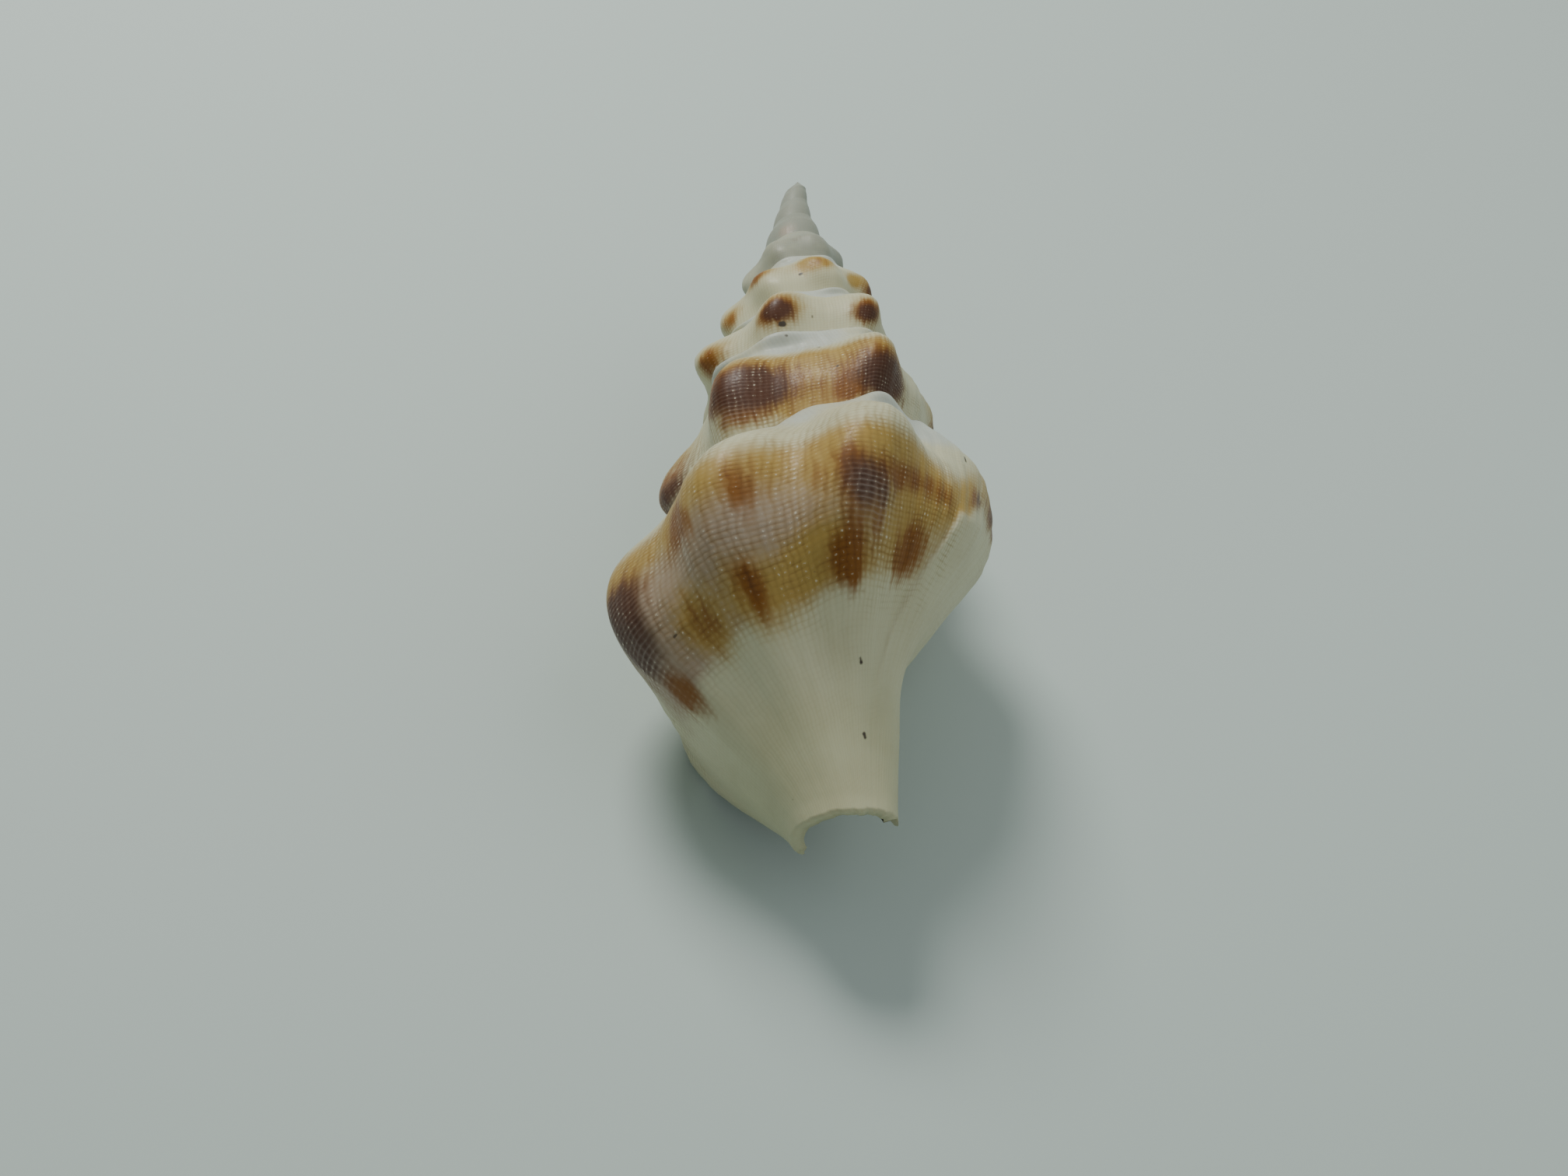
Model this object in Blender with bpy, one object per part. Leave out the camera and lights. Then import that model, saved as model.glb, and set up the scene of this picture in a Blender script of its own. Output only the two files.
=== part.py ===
"""A spindle-shaped, ribbed sea snail shell, modelled as one closed solid.

The shell is a tube wound about eight times round its own axis. Its surface is worked out from three
things: how the suture and the whorl radius grow with each turn, the profile across one whorl, and the
ribs that swell it about six times a turn. The last whorl runs on down to the canal at the front end,
and the opening under its outer lip is a real hollow that winds back inside the whorl.

Frame: metres, +Z up. The shell lies on its opening, its tip towards +Y and its canal towards -Y.
Places on the shell are given as
  back    turns wound back from the outer lip, 0 at the lip and TURNS at the tip,
  height  distance from the tip along the axis,
  across  0 at a whorl's upper suture and 1 at the next one down,
  down    0 where the next suture would be and 1 at the canal's end, on the last whorl only.
"""
import math

import bmesh
import bpy
import numpy as np
from mathutils import Matrix, Vector

MM = 0.001

# Sizes along and round the axis
AXIS_LENGTH = 22.5 * MM
TURNS = 8
LIP_ANGLE = -134.0          # degrees round the axis from the top of the back, + to the right
SUTURE_HEIGHTS = [0.0, 0.35, 0.88, 1.55, 2.42, 3.5, 5.05, 7.1, 9.2, 12.9, 18.6]     # mm, tip first
WHORL_RADII = [0.27, 0.36, 0.48, 0.69, 0.98, 1.4, 2.0, 2.75, 3.45, 5.1, 5.8]        # mm, tip first
TIP_HEIGHT = 0.2 * MM       # where the blunt tip begins
TIP_LEAN = 0.36 * MM        # the first whorls lean to the right
TIP_LEAN_HEIGHT = 2.7 * MM

# The suture dips behind the ribs on top of the back: angle, reach in degrees, and depth
SUTURE_DIPS = [(-32, 15, 0.55 * MM), (10, 13, 0.34 * MM), (48, 14, 0.40 * MM)]

# Profile across a whorl, as shares of its radius
PROFILE_ACROSS = [0.20, 0.45, 0.70, 1.00]
PROFILE_RADIUS = [0.81, 0.98, 1.02, 0.985]
FLATTENED = 0.7             # how far the first whorls are flattened towards a plain cone
FLATTENED_BACK = [4.0, 6.5]     # turns back between which the flattening sets in

# Base of the last whorl and the canal
CANAL_RADIUS = 0.85 * MM
CANAL_LIP_RADIUS = 1.85 * MM
CANAL_PILLAR_RADIUS = 0.30 * MM
PILLAR_RADIUS = 1.25 * MM
PILLAR_PLACES = [0.50, 0.80, 0.88, 1.0]     # shares of the axis length, tip first
PILLAR_THICKNESS = [1.2, 1.0, 0.5]          # shares of PILLAR_RADIUS at the first three of them
PILLAR_SHORTER = 1.3 * MM   # the pillar ends this far above the canal's end
END_CLIMBS = [0.62, 0.85]   # turns back between which the end of the base climbs to the pillar's end
CANAL_OPENS = 0.6           # turns forward from one turn back where the canal starts to widen to its lip
PILLAR_LEAVES = 0.4         # the same where the base has left the pillar for the canal's wall
DOWN_STEPS = [0.0, 0.25, 0.50, 0.75, 1.0]
BASE_AT_LIP = [1.0, 0.82, 0.58, 0.29, 0.0]
BASE_ONE_TURN_BACK = [1.0, 0.40, 0.06, 0.01, 0.0]
BASE_BLEND = 1.6            # power with which the base goes from the one shape to the other

# Ribs: angle round the axis counted back from the lip, and height as a share of RIB_HEIGHT
RIB_HEIGHT = 0.24           # share of the whorl's radius
RIB_WIDTH = 13.0            # degrees, half width of a rib at about two thirds of its height
RIB_LEAN = -26.0            # degrees that a rib slants from suture to suture
BACK_RIBS = [-32, 6, 318, 385, 699, 757]    # these ribs, on the back, slant by BACK_RIB_LEAN instead
BACK_RIB_LEAN = 10.0
BACK_RIB_WIDTH = 11.0
RIBS = [
    (-87, 1.0), (-32, 1.35), (6, 1.25), (88, 0.45), (148, 1.6), (203, 1.8), (254, 1.5), (318, 1.2),
    (385, 1.1), (469, 1.0), (532, 1.0), (598, 1.0), (645, 1.3), (699, 1.0), (757, 0.9), (832, 1.1),
    (920, 1.0), (994, 1.25), (1043, 0.9), (1094, 0.9), (1156, 1.1), (1225, 0.8), (1285, 0.8),
    (1345, 1.1), (1405, 0.7), (1465, 0.6), (1535, 1.1), (1585, 0.4), (1645, 0.3),
]
RIB_ACROSS = [0.0, 0.12, 0.30, 0.50, 0.75, 1.0]
RIB_ENVELOPE = [0.0, 0.15, 0.68, 1.0, 1.0, 0.75]
BACK_RIB_ENVELOPE = [0.0, 0.30, 0.95, 1.0, 0.85, 0.62]
RIB_FADES = [1.0, 0.64, 0.29, 0.07, 0.0]    # the same down the base

# Uneven swellings and hollows: angle as above, height, reach in degrees, reach along the axis, and amount
SWELLINGS = [
    (76, 11.7 * MM, 26, 0.8 * MM, 0.30 * MM),
    (-87, 14.3 * MM, 20, 1.0 * MM, 0.18 * MM),
    (288, 9.3 * MM, 22, 0.9 * MM, 0.30 * MM),
    (-13, 13.2 * MM, 12, 0.8 * MM, -0.32 * MM),
    (40, 12.6 * MM, 11, 0.8 * MM, -0.28 * MM),
    (19, 13.5 * MM, 10, 0.9 * MM, 0.30 * MM),
    (-52, 14.4 * MM, 16, 1.5 * MM, 0.40 * MM),
    (92, 18.5 * MM, 28, 0.7 * MM, -0.42 * MM),
]

# The last whorl's profile is softened by averaging it over these distances along the axis
SOFTENED = [(-0.8 * MM, 0.10), (-0.4 * MM, 0.25), (0.0, 0.30), (0.4 * MM, 0.25), (0.8 * MM, 0.10)]
SOFTENED_BACK = 0.85        # turns back past which the softening fades out
SOFTENED_ACROSS = 0.3       # share of the whorl over which it sets in

# Outer lip and opening
WALL = 0.45 * MM
LIP_FLARE = 0.5 * MM        # the lip's edge spreads where the shell rests on it
LIP_FLARE_HEIGHT = 17.8 * MM
LIP_FLARE_REACH = 2.4 * MM
LIP_FLARE_TURN = 0.045
OPENING_DEPTH = 0.36        # turns that the hollow winds back at its widest
CANAL_DEPTH = 0.55          # the same along the canal
CANAL_STARTS = 0.6          # share of the way down where the hollow starts to wind further back
OPENING_TOP_ROW = 1
HOLLOW_MIDDLE = 0.45        # share of its width where the hollow closes at its back

# Mesh density
COLUMNS = 52                # per turn
ROWS = 7                    # across a whorl
BASE_ROWS = 12
DEPTH_COLUMNS = 14

# How the shell lies
TIP_RAISED = 5.4            # degrees that the tip end of the axis rises above the level
TURNED = 0.0                # degrees that the shell is turned about the vertical
ROLLED = -3.1               # degrees that the shell is rolled about its axis
REST_CUT = 0.16 * MM        # depth of the flat spots that it rests on

SHELL_COLOUR = (0.62, 0.55, 0.42, 1.0)
SHELL_ROUGHNESS = 0.42


def smooth_through(xs, ys, x):
    """Read a smooth curve through the points xs, ys that never overshoots them."""
    xs = np.asarray(xs, float)
    ys = np.asarray(ys, float)
    x = np.clip(x, xs[0], xs[-1])
    step = np.diff(xs)
    rise = np.diff(ys) / step
    slope = np.zeros(len(xs))
    same_way = rise[:-1] * rise[1:] > 0
    weight_a = 2 * step[1:] + step[:-1]
    weight_b = step[1:] + 2 * step[:-1]
    harmonic = (weight_a + weight_b) / (weight_a / np.where(same_way, rise[:-1], 1)
                                        + weight_b / np.where(same_way, rise[1:], 1))
    slope[1:-1] = np.where(same_way, harmonic, 0.0)
    slope[0] = rise[0]
    slope[-1] = rise[-1]
    part = np.clip(np.searchsorted(xs, x, side="right") - 1, 0, len(step) - 1)
    h = step[part]
    f = (x - xs[part]) / h
    return ((1 + 2 * f) * (1 - f) ** 2 * ys[part] + f * (1 - f) ** 2 * h * slope[part]
            + f * f * (3 - 2 * f) * ys[part + 1] + f * f * (f - 1) * h * slope[part + 1])


def ease(x):
    """Rise smoothly from 0 to 1 as x does."""
    x = np.clip(x, 0.0, 1.0)
    return x * x * (3 - 2 * x)


BACK_STEPS = np.arange(-1, TURNS + 2)


def suture_height(back):
    height = smooth_through(BACK_STEPS, np.array(SUTURE_HEIGHTS[::-1]) * MM, back)
    for angle, reach, depth in SUTURE_DIPS:
        height = height + depth * np.exp(-((LIP_ANGLE + 360 * back - angle) / reach) ** 2)
    return height


def whorl_radius(back):
    return smooth_through(BACK_STEPS, np.array(WHORL_RADII[::-1]) * MM, back)


def rib_height(back, across, down=0.0):
    """How far the ribs swell the surface, as a share of RIB_HEIGHT."""
    angle = LIP_ANGLE + 360.0 * back
    side = smooth_through(RIB_ACROSS, RIB_ENVELOPE, across)
    top = smooth_through(RIB_ACROSS, BACK_RIB_ENVELOPE, across)
    total = 0.0
    for rib_angle, height in RIBS:
        on_back = rib_angle in BACK_RIBS
        lean = BACK_RIB_LEAN if on_back else RIB_LEAN
        width = BACK_RIB_WIDTH if on_back else RIB_WIDTH
        away = (angle + lean * (across - 0.5) - rib_angle) / width
        total = total + height * np.exp(-0.5 * away ** 2) * (top if on_back else side)
    return total * smooth_through(DOWN_STEPS, RIB_FADES, down)


def swelling(back, height):
    """How far the uneven swellings raise the surface, or the hollows lower it."""
    angle = LIP_ANGLE + 360.0 * back
    total = 0.0 * height
    for place, place_height, reach, reach_along, amount in SWELLINGS:
        away = ((angle - place) / reach) ** 2 + ((height - place_height) / reach_along) ** 2
        total = total + amount * np.exp(-away)
    return total


def whorl_radius_across(back, across):
    """Radius of the surface between a whorl's two sutures."""
    radius = whorl_radius(back)
    under_suture = whorl_radius(back + 1) * PROFILE_RADIUS[-1] / radius
    shoulder = PROFILE_RADIUS[0] + (under_suture - PROFILE_RADIUS[0]) * (1 - across / PROFILE_ACROSS[0])
    rest = smooth_through(PROFILE_ACROSS, PROFILE_RADIUS, across)
    profile = np.where(across < PROFILE_ACROSS[0], shoulder, rest)
    straight = under_suture + (PROFILE_RADIUS[-1] - under_suture) * across
    flat = FLATTENED * ease((back - FLATTENED_BACK[0]) / (FLATTENED_BACK[1] - FLATTENED_BACK[0]))
    profile = profile + flat * (straight - profile)
    top = suture_height(back)
    height = top + across * (suture_height(back - 1) - top)
    fade = ease(across / PROFILE_ACROSS[0])
    return radius * (profile + RIB_HEIGHT * rib_height(back, across)) + swelling(back, height) * fade


def pillar_radius(height):
    """Radius of the central pillar, which thins out along the canal."""
    share = height / AXIS_LENGTH
    radii = [PILLAR_RADIUS * thickness for thickness in PILLAR_THICKNESS] + [CANAL_PILLAR_RADIUS]
    return smooth_through(PILLAR_PLACES, radii, share)


def end_height(back):
    """Height of the front end, which is lowest along the canal."""
    climbed = ease((back - END_CLIMBS[0]) / (END_CLIMBS[1] - END_CLIMBS[0]))
    return AXIS_LENGTH - PILLAR_SHORTER * climbed


def base_radius(back, down):
    """Radius of the last whorl below the line where the next suture would be."""
    top = suture_height(back - 1)
    height = top + down * (end_height(back) - top)
    nearness = np.clip(1 - back, 0, 1)
    blend = nearness ** BASE_BLEND
    shape = (smooth_through(DOWN_STEPS, BASE_AT_LIP, down) * blend
             + smooth_through(DOWN_STEPS, BASE_ONE_TURN_BACK, down) * (1 - blend))
    opened = ease((nearness - CANAL_OPENS) / (1 - CANAL_OPENS))
    open_canal = CANAL_RADIUS + (CANAL_LIP_RADIUS - CANAL_RADIUS) * opened
    inner = pillar_radius(height)
    canal = inner + (open_canal - inner) * ease(nearness / PILLAR_LEAVES)
    edge = whorl_radius(back) * PROFILE_RADIUS[-1]
    return canal + (edge - canal) * shape + whorl_radius(back) * RIB_HEIGHT * rib_height(back, 1.0, down)


def lip_flare(back, height):
    """How far the outer lip's edge spreads outwards."""
    along = np.exp(-((height - LIP_FLARE_HEIGHT) / LIP_FLARE_REACH) ** 2)
    return LIP_FLARE * along * ease(1 - back / LIP_FLARE_TURN)


def outer_radius(back, height):
    """Radius of the outer surface of the last whorl at any height."""
    top = suture_height(back)
    edge = suture_height(back - 1)
    across = np.clip((height - top) / (edge - top), 0, 1)
    down = np.clip((height - edge) / (end_height(back) - edge), 0, 1)
    on_base = base_radius(back, down) + swelling(back, height)
    return np.where(height < edge, whorl_radius_across(back, across), on_base) + lip_flare(back, height)


def soft_radius(back, height):
    """The same with its profile softened, away from the suture above it."""
    plain = outer_radius(back, height)
    total = 0.0 * plain
    for offset, weight in SOFTENED:
        total = total + weight * outer_radius(back, height + offset)
    top = suture_height(back)
    across = (height - top) / (suture_height(back - 1) - top)
    share = ease((1 - back) / (1 - SOFTENED_BACK)) * ease(across / SOFTENED_ACROSS)
    return plain + share * (total - plain)


def to_space(back, height, radius):
    """Turn places on the shell into points, with the axis along -Y and the tip at the origin."""
    angle = np.radians(LIP_ANGLE + 360.0 * back)
    lean = TIP_LEAN * np.clip(1 - height / TIP_LEAN_HEIGHT, 0, 1) ** 2
    return np.stack([radius * np.sin(angle) + lean, -height + 0 * angle, radius * np.cos(angle)], axis=-1)


class Builder:
    """Collects vertices and faces of the shell."""

    def __init__(self):
        self.mesh = bmesh.new()

    def vertex(self, point):
        return self.mesh.verts.new(Vector([float(value) for value in point]))

    def column(self, points):
        return [self.vertex(point) for point in points]

    def face(self, *corners):
        if len(set(corners)) == len(corners):
            self.mesh.faces.new(corners)
        elif len(set(corners)) == 3:
            self.mesh.faces.new(list(dict.fromkeys(corners)))

    def sheet(self, columns):
        """Join neighbouring columns of vertices with quads."""
        for left, right in zip(columns[:-1], columns[1:]):
            for row in range(len(left) - 1):
                self.face(left[row], left[row + 1], right[row + 1], right[row])

    def bridge(self, first, first_places, second, second_places):
        """Join two chains of vertices with triangles, moving along both in step."""
        i = 0
        j = 0
        while i < len(first) - 1 or j < len(second) - 1:
            go_first = j == len(second) - 1
            if not go_first and i < len(first) - 1:
                go_first = first_places[i + 1] <= second_places[j + 1]
            if go_first:
                self.face(first[i], second[j], first[i + 1])
                i += 1
            else:
                self.face(first[i], second[j], second[j + 1])
                j += 1


def build_shell():
    build = Builder()
    count = COLUMNS * TURNS
    across = np.linspace(0, 1, ROWS + 1)
    down = np.linspace(0, 1, BASE_ROWS + 1)

    # The whorls from the tip to the lip, each hung on the edge of the one before it
    columns = []
    bases = []
    for index in range(count + 1):
        back = TURNS * (1 - index / count)
        top = suture_height(back)
        height = top + across * (suture_height(back - 1) - top)
        radius = whorl_radius_across(back, across) if back > 1 else soft_radius(back, height)
        points = to_space(back, height, radius)
        if index < COLUMNS:
            column = build.column(points)
        else:
            column = [columns[index - COLUMNS][-1]] + build.column(points[1:])
        columns.append(column)
        if index >= count - COLUMNS:
            edge = suture_height(back - 1)
            base_height = edge + down * (end_height(back) - edge)
            points = to_space(back, base_height, soft_radius(back, base_height))
            bases.append([column[-1]] + build.column(points[1:]))
    build.sheet(columns)
    build.sheet(bases)

    # The tip
    tip = build.vertex(to_space(TURNS, TIP_HEIGHT, 0.0))
    for index in range(COLUMNS):
        build.face(tip, columns[index][0], columns[index + 1][0])
    for row in range(ROWS):
        build.face(tip, columns[0][row + 1], columns[0][row])

    # The hollow: its inner wall goes on from the base under the lip, its outer wall lies under the last whorl
    inner_walls = []
    outer_walls = []
    top_row = OPENING_TOP_ROW
    for step in range(DEPTH_COLUMNS + 1):
        depth = step / DEPTH_COLUMNS
        wide = math.sqrt(1 - depth ** 4)
        share = down[top_row:]
        canal_part = ease((share - CANAL_STARTS) / (1 - CANAL_STARTS))
        back = depth * (OPENING_DEPTH + (CANAL_DEPTH - OPENING_DEPTH) * canal_part)
        start = suture_height(back)
        end = end_height(back[-1])
        height = start + share * (end - start)
        inner_end = end + (end_height(back[-1] + 1) - end) * wide
        inner_height = start + share * (inner_end - start)
        inner = base_radius(back + 1, share)
        gap = soft_radius(back, height) - inner
        outer = inner + gap ** 2 / (gap + WALL)
        middle = inner + HOLLOW_MIDDLE * (outer - inner)
        inner_points = to_space(back + 1, inner_height, middle + (inner - middle) * wide)
        outer_points = to_space(back, height, middle + (outer - middle) * wide)
        if step == 0:
            inner_column = bases[0][top_row:]
        else:
            inner_column = build.column(inner_points)
        outer_column = [inner_column[0]] + build.column(outer_points[1:])
        if step == DEPTH_COLUMNS:
            for vertex in outer_column:
                build.mesh.verts.remove(vertex)
            inner_column[0] = inner_walls[-1][0]
            outer_column = inner_column
        inner_walls.append(inner_column)
        outer_walls.append(outer_column)
    build.sheet(inner_walls)
    build.sheet(outer_walls)

    # The rim of the lip, from the suture to the canal
    lip = columns[-1] + bases[-1][1:]
    lip_heights = [-vertex.co.y for vertex in lip]
    rim = bases[0][:top_row + 1] + outer_walls[0][1:]
    rim_heights = [-vertex.co.y for vertex in rim]
    build.bridge(lip, lip_heights, rim, rim_heights)

    # The canal's end: a strip round the hollow, and a fan over the pillar
    outer_end = [column[-1] for column in reversed(bases)]
    hollow_end = [column[-1] for column in outer_walls]
    reach = math.ceil(CANAL_DEPTH * COLUMNS) + 1
    build.bridge(outer_end[:reach + 1], np.arange(reach + 1) / COLUMNS,
                 hollow_end, np.arange(len(hollow_end)) / DEPTH_COLUMNS * CANAL_DEPTH)
    middle = build.vertex(to_space(1.0, end_height(1.0), 0.0))
    ring = outer_end[reach:] + [column[-1] for column in inner_walls[1:]]
    for left, right in zip(ring, ring[1:] + ring[:1]):
        build.face(middle, left, right)

    bmesh.ops.recalc_face_normals(build.mesh, faces=build.mesh.faces)
    return build.mesh


def lay_down(mesh):
    """Turn the shell as it lies, cut the flat spots and put its box's bottom centre on the origin."""
    turn = (Matrix.Rotation(math.radians(TURNED), 4, "Z") @ Matrix.Rotation(math.radians(TIP_RAISED), 4, "X")
            @ Matrix.Rotation(math.radians(ROLLED), 4, "Y"))
    bmesh.ops.transform(mesh, matrix=turn, verts=mesh.verts)
    low = min(vertex.co.z for vertex in mesh.verts) + REST_CUT
    geometry = mesh.verts[:] + mesh.edges[:] + mesh.faces[:]
    cut = bmesh.ops.bisect_plane(mesh, geom=geometry, plane_co=(0, 0, low), plane_no=(0, 0, 1), clear_inner=True)
    edges = [item for item in cut["geom_cut"] if isinstance(item, bmesh.types.BMEdge)]
    bmesh.ops.contextual_create(mesh, geom=edges)
    xs = [vertex.co.x for vertex in mesh.verts]
    ys = [vertex.co.y for vertex in mesh.verts]
    centre = Vector(((min(xs) + max(xs)) / 2, (min(ys) + max(ys)) / 2, low))
    bmesh.ops.translate(mesh, vec=-centre, verts=mesh.verts)
    bmesh.ops.recalc_face_normals(mesh, faces=mesh.faces)


def shell_material():
    material = bpy.data.materials.new("shell_lime")
    material.use_nodes = True
    surface = material.node_tree.nodes["Principled BSDF"]
    surface.inputs["Base Color"].default_value = SHELL_COLOUR
    surface.inputs["Roughness"].default_value = SHELL_ROUGHNESS
    surface.inputs["Metallic"].default_value = 0.0
    return material


def clear_scene():
    for item in list(bpy.data.objects):
        bpy.data.objects.remove(item, do_unlink=True)


def main():
    clear_scene()
    mesh = build_shell()
    lay_down(mesh)
    data = bpy.data.meshes.new("shell")
    mesh.to_mesh(data)
    mesh.free()
    data.shade_smooth()
    shell = bpy.data.objects.new("shell", data)
    shell.data.materials.append(shell_material())
    bpy.context.scene.collection.objects.link(shell)


main()
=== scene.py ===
"""The dressed model of a spindle-shaped, ribbed sea snail shell, with its floor, lights and camera.

Frame: metres, +Z up. The shell lies on its opening, its tip towards +Y and its canal towards -Y.
It is a tube wound about eight times round its own axis. Places on it are given as
  back    turns wound back from the outer lip, 0 at the lip and TURNS at the tip,
  angle   the same in degrees round the axis, LIP_ANGLE at the lip and 0 on top of the back,
  height  distance from the tip along the axis,
  across  0 at a whorl's upper suture and 1 at the next one down,
  down    0 where the next suture would be and 1 at the canal's end, on the last whorl only,
  share   across on a whorl, and 1 + down on the base of the last one,
  below   distance below the upper suture, which the coloured marks are placed by.
A pair of values for rise(), such as BAND_STARTS, says where something begins to set in and where it is
complete.
"""
import math

import bmesh
import bpy
import numpy as np
from mathutils import Matrix, Vector


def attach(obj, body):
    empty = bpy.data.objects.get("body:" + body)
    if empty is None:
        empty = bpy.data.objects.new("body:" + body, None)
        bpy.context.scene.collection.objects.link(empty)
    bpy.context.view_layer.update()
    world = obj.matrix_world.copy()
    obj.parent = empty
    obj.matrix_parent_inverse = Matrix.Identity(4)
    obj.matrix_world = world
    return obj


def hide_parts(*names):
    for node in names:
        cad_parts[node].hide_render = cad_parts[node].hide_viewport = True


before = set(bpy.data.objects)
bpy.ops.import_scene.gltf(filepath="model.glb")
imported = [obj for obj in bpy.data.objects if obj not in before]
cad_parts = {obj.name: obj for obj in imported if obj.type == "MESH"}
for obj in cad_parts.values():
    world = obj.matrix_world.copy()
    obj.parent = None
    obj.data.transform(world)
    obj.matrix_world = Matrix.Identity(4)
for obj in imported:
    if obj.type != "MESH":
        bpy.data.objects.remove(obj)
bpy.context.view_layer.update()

MM = 0.001

# Sizes along and round the axis
AXIS_LENGTH = 22.5 * MM
TURNS = 8
LIP_ANGLE = -134.0          # degrees round the axis from the top of the back, + to the right
SUTURE_HEIGHTS = [0.0, 0.35, 0.88, 1.55, 2.42, 3.5, 5.05, 7.1, 9.2, 12.9, 18.6]     # mm, tip first
WHORL_RADII = [0.27, 0.36, 0.48, 0.69, 0.98, 1.4, 2.0, 2.75, 3.45, 5.1, 5.8]        # mm, tip first
TIP_HEIGHT = 0.2 * MM       # where the blunt tip begins
TIP_LEAN = 0.36 * MM        # the first whorls lean to the right
TIP_LEAN_HEIGHT = 2.7 * MM

# The suture dips behind the ribs on top of the back: angle, reach in degrees, and depth
SUTURE_DIPS = [(-32, 15, 0.55 * MM), (10, 13, 0.34 * MM), (48, 14, 0.40 * MM)]

# Profile across a whorl, as shares of its radius
PROFILE_ACROSS = [0.20, 0.45, 0.70, 1.00]
PROFILE_RADIUS = [0.81, 0.98, 1.02, 0.985]
FLATTENED = 0.7             # how far the first whorls are flattened towards a plain cone
FLATTENED_BACK = [4.0, 6.5]     # turns back between which the flattening sets in

# Base of the last whorl and the canal
CANAL_RADIUS = 0.85 * MM
CANAL_LIP_RADIUS = 1.85 * MM
CANAL_PILLAR_RADIUS = 0.30 * MM
PILLAR_RADIUS = 1.25 * MM
PILLAR_PLACES = [0.50, 0.80, 0.88, 1.0]     # shares of the axis length, tip first
PILLAR_THICKNESS = [1.2, 1.0, 0.5]          # shares of PILLAR_RADIUS at the first three of them
PILLAR_SHORTER = 1.3 * MM   # the pillar ends this far above the canal's end
END_CLIMBS = [0.62, 0.85]   # turns back between which the end of the base climbs to the pillar's end
CANAL_OPENS = 0.6           # turns forward from one turn back where the canal starts to widen to its lip
PILLAR_LEAVES = 0.4         # the same where the base has left the pillar for the canal's wall
DOWN_STEPS = [0.0, 0.25, 0.50, 0.75, 1.0]
BASE_AT_LIP = [1.0, 0.82, 0.58, 0.29, 0.0]
BASE_ONE_TURN_BACK = [1.0, 0.40, 0.06, 0.01, 0.0]
BASE_BLEND = 1.6            # power with which the base goes from the one shape to the other

# Ribs: angle round the axis counted back from the lip, and height as a share of RIB_HEIGHT
RIB_HEIGHT = 0.24           # share of the whorl's radius
RIB_WIDTH = 13.0            # degrees, half width of a rib at about two thirds of its height
RIB_LEAN = -26.0            # degrees that a rib slants from suture to suture
BACK_RIBS = [-32, 6, 318, 385, 699, 757]    # these ribs, on the back, slant by BACK_RIB_LEAN instead
BACK_RIB_LEAN = 10.0
BACK_RIB_WIDTH = 11.0
RIBS = [
    (-87, 1.0), (-32, 1.35), (6, 1.25), (88, 0.45), (148, 1.6), (203, 1.8), (254, 1.5), (318, 1.2),
    (385, 1.1), (469, 1.0), (532, 1.0), (598, 1.0), (645, 1.3), (699, 1.0), (757, 0.9), (832, 1.1),
    (920, 1.0), (994, 1.25), (1043, 0.9), (1094, 0.9), (1156, 1.1), (1225, 0.8), (1285, 0.8),
    (1345, 1.1), (1405, 0.7), (1465, 0.6), (1535, 1.1), (1585, 0.4), (1645, 0.3),
]
RIB_ACROSS = [0.0, 0.12, 0.30, 0.50, 0.75, 1.0]
RIB_ENVELOPE = [0.0, 0.15, 0.68, 1.0, 1.0, 0.75]
BACK_RIB_ENVELOPE = [0.0, 0.30, 0.95, 1.0, 0.85, 0.62]
RIB_FADES = [1.0, 0.64, 0.29, 0.07, 0.0]    # the same down the base

# Uneven swellings and hollows: angle as above, height, reach in degrees, reach along the axis, and amount
SWELLINGS = [
    (76, 11.7 * MM, 26, 0.8 * MM, 0.30 * MM),
    (-87, 14.3 * MM, 20, 1.0 * MM, 0.18 * MM),
    (288, 9.3 * MM, 22, 0.9 * MM, 0.30 * MM),
    (-13, 13.2 * MM, 12, 0.8 * MM, -0.32 * MM),
    (40, 12.6 * MM, 11, 0.8 * MM, -0.28 * MM),
    (19, 13.5 * MM, 10, 0.9 * MM, 0.30 * MM),
    (-52, 14.4 * MM, 16, 1.5 * MM, 0.40 * MM),
    (92, 18.5 * MM, 28, 0.7 * MM, -0.42 * MM),
]

# The last whorl's profile is softened by averaging it over these distances along the axis
SOFTENED = [(-0.8 * MM, 0.10), (-0.4 * MM, 0.25), (0.0, 0.30), (0.4 * MM, 0.25), (0.8 * MM, 0.10)]
SOFTENED_BACK = 0.85        # turns back past which the softening fades out
SOFTENED_ACROSS = 0.3       # share of the whorl over which it sets in

# Outer lip and opening
WALL = 0.45 * MM
LIP_EDGE = 0.10 * MM        # thickness of the lip's own edge
LIP_EDGE_REACH = 0.035      # turns over which the wall thickens behind it
LIP_FLARE = 0.5 * MM        # the lip's edge spreads where the shell rests on it
LIP_FLARE_HEIGHT = 17.8 * MM
LIP_FLARE_REACH = 2.4 * MM
LIP_FLARE_TURN = 0.045
OPENING_DEPTH = 0.36        # turns that the hollow winds back at its widest
CANAL_DEPTH = 0.55          # the same along the canal
CANAL_STARTS = 0.6          # share of the way down where the hollow starts to wind further back
HOLLOW_MIDDLE = 0.45        # share of its width where the hollow closes at its back
HOLLOW_SQUARE = 4           # power that keeps the hollow wide almost to its back
# painted shade: the hollow's inside darkens with depth, towards a brown colour
HOLLOW_SHADE_DEPTHS = [0.0, 0.2]     # shares of its depth
CANAL_LESS_SHADED = 0.85          # how much less it darkens in the canal

# Mesh density
COLUMNS_BY_TURN = [400, 260, 190, 140, 110, 90, 70, 50]     # the last whorl first
ROWS = 44                   # across a whorl
BASE_ROWS = 64
DEPTH_COLUMNS = 60
MERGED = 0.001 * MM         # points closer than this are one
ROUNDING = 1e-9             # allowed for where turns are compared

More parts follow.
